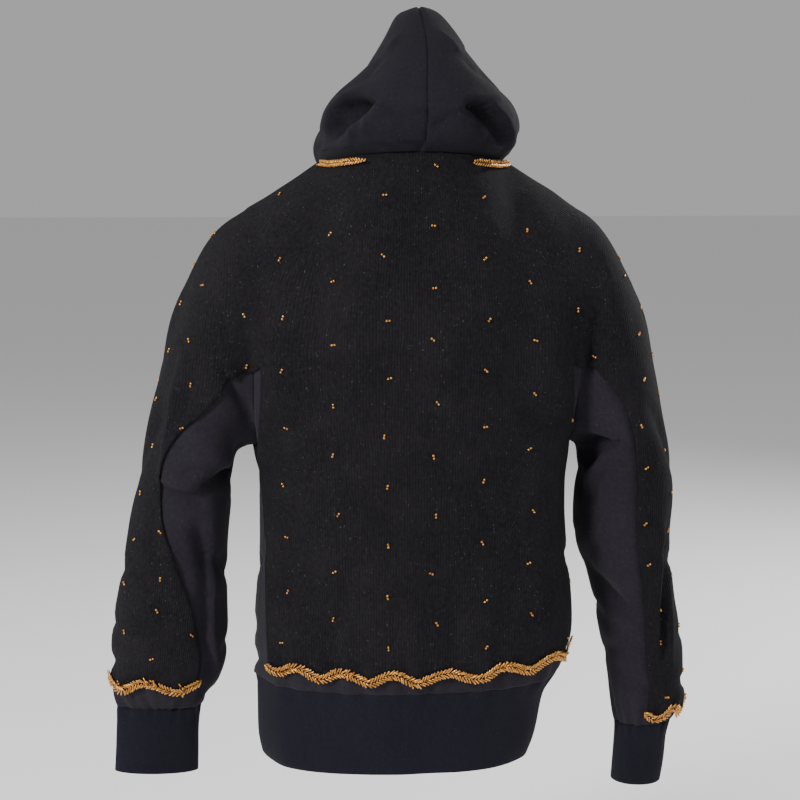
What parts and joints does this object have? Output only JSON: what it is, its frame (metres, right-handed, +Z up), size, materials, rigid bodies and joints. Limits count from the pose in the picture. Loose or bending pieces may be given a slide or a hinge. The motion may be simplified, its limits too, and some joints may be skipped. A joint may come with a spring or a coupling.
{
  "type": "zip hoodie",
  "caption": "Zip hoodie in black fleece with a wool knit laid over back and sleeves, scalloped beaded braid along its edges, hood up.",
  "frame": {"origin": "the middle of the neck opening, where the wearer's neck and shoulders hold the garment", "axes": "+Z up, the wearer faces -Y, and the wearer's left is +X"},
  "size_m": [0.6327, 0.2334, 0.8389],
  "materials": {
    "fleece": "matt sweatshirt fleece, black",
    "band": "matt knitted band, blue-black",
    "knit": "fine wool knit with a little fuzz, black",
    "beads": "gold-lined glass and metal beads",
    "tape": "woven zip tape, black",
    "zip_metal": "brushed brass"
  },
  "bodies": {
    "garment": {"back": "fleece", "front_left": "fleece", "front_right": "fleece", "sleeve_left": "fleece", "sleeve_right": "fleece", "hood_left": "fleece", "hood_right": "fleece", "waistband": "band", "cuff_left": "band", "cuff_right": "band", "knit": "knit", "trim_hem": "beads", "trim_cuff_left": "beads", "trim_cuff_right": "beads", "trim_neck_left": "beads", "trim_neck_right": "beads", "zip_tape_left": "tape", "zip_tape_right": "tape", "zip_chain": "zip_metal", "zip_stop_left": "zip_metal", "zip_stop_right": "zip_metal", "zip_box": "zip_metal", "zip_slider": "zip_metal"},
    "pull": {"pull_tab": "zip_metal"}
  },
  "joints": [
    {"name": "pull_hinge", "type": "hinge", "parent": "garment", "child": "pull", "pos_m": [0, -0.09808, -0.091], "axis": [-1, 0, 0], "range_deg": [0, 150]}
  ]
}
